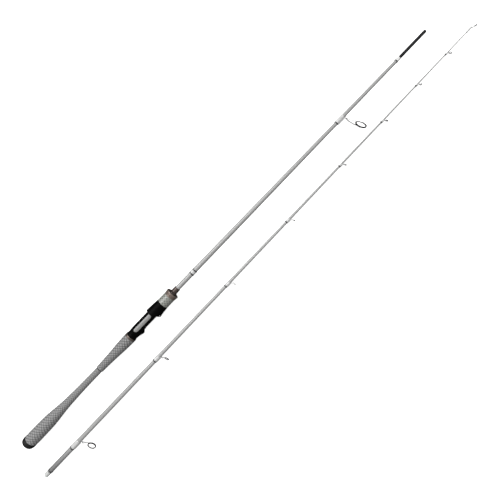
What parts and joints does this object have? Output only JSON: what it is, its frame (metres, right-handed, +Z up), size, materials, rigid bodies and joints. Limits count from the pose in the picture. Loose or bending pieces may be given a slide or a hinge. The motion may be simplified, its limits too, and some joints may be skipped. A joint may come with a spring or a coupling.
{
  "type": "two-piece spinning fishing rod",
  "caption": "Two-piece spinning fishing rod, taken apart and laid down: butt section with grips and screw reel seat, tip section with ring guides beside it.",
  "frame": {"origin": "centre of the bounding box at the floor: both sections lie on Z = 0", "axes": "+X from the butt end to the tip, +Y away from the reel side (guides and reel face -Y), +Z up"},
  "size_m": [1.1412, 0.1066, 0.0256],
  "materials": {
    "cap_rubber": "satin black rubber",
    "rear_sleeve": "grey shrink sleeve with a raised diamond net",
    "fore_sleeve": "darker grey shrink sleeve with a mottled net",
    "brown_ring": "dark brown anodised",
    "seat_black": "satin black moulded",
    "seat_inlay": "light grey",
    "hood_black": "satin black moulded",
    "nut_core": "black moulded, threaded inside",
    "nut_weave": "woven cloth under clear resin",
    "bronze_ring": "bronze-brown anodised",
    "check_brown": "dark brown anodised",
    "arbor": "foam arbor",
    "blank_grey": "light grey lacquer over carbon",
    "ferrule_black": "sanded black carbon",
    "trim_dark": "dark thread band under resin",
    "wrap_light": "pale thread under clear resin",
    "wrap_dark": "dark grey thread under clear resin",
    "guide_metal": "bright satin stainless steel",
    "ring_ceramic": "polished black ceramic",
    "plug_clear": "milky translucent"
  },
  "bodies": {
    "butt_section": {"butt_cap": "cap_rubber", "rear_grip": "rear_sleeve", "fore_grip": "fore_sleeve", "seat_rear_ring": "brown_ring", "reel_seat": "seat_black", "seat_inlay_upper": "seat_inlay", "seat_inlay_lower": "seat_inlay", "seat_arbors": "arbor", "butt_blank": "blank_grey", "male_ferrule": "ferrule_black", "winding_check": "check_brown", "handle_trim_wrap": "wrap_light", "ferrule_end_wrap": "wrap_light", "butt_trim_bands": "trim_dark", "stripper_guide_frame": "guide_metal", "stripper_guide_ring": "ring_ceramic", "stripper_guide_wrap": "wrap_light"},
    "hood": {"movable_hood": "hood_black"},
    "lock_nut": {"lock_nut_core": "nut_core", "lock_nut_sleeve": "nut_weave", "lock_nut_trim_ring": "bronze_ring", "lock_nut_collar": "bronze_ring"},
    "tip_section": {"tip_blank": "blank_grey", "ferrule_winding": "wrap_dark", "tip_trim_bands": "trim_dark", "guide_1_frame": "guide_metal", "guide_1_ring": "ring_ceramic", "guide_1_wrap": "wrap_light", "guide_2_frame": "guide_metal", "guide_2_ring": "ring_ceramic", "guide_2_wrap": "wrap_light", "guide_3_frame": "guide_metal", "guide_3_ring": "ring_ceramic", "guide_3_wrap": "wrap_light", "guide_4_frame": "guide_metal", "guide_4_ring": "ring_ceramic", "guide_4_wrap": "wrap_light", "guide_5_frame": "guide_metal", "guide_5_ring": "ring_ceramic", "guide_5_wrap": "wrap_light", "guide_6_frame": "guide_metal", "guide_6_ring": "ring_ceramic", "guide_6_wrap": "wrap_light", "guide_7_frame": "guide_metal", "guide_7_ring": "ring_ceramic", "guide_7_wrap": "wrap_light", "guide_8_frame": "guide_metal", "guide_8_ring": "ring_ceramic", "guide_8_wrap": "wrap_light", "tip_top_frame": "guide_metal", "tip_top_ring": "ring_ceramic"},
    "plug": {"ferrule_plug": "plug_clear"}
  },
  "joints": [
    {"name": "hood_slide", "type": "slide", "parent": "butt_section", "child": "hood", "axis": [1, 0, 0], "range_m": [-0.012, 0]},
    {"name": "nut_turn", "type": "hinge", "parent": "hood", "child": "lock_nut", "pos_m": [-0.1841, 0.0402, 0.01282], "axis": [1, 0, 0], "range_deg": [-2160, 0]},
    {"name": "tip_section_slide", "type": "slide", "parent": "butt_section", "child": "tip_section", "axis": [1, 0, 0], "range_m": [0, 1.06]},
    {"name": "plug_slide", "type": "slide", "parent": "tip_section", "child": "plug", "axis": [-1, -0.007, 0.005], "range_m": [0, 0.025]}
  ],
  "couplings": [
    {"joint": "hood_slide", "follows": "nut_turn", "m_per_rad": 0.00031831}
  ]
}
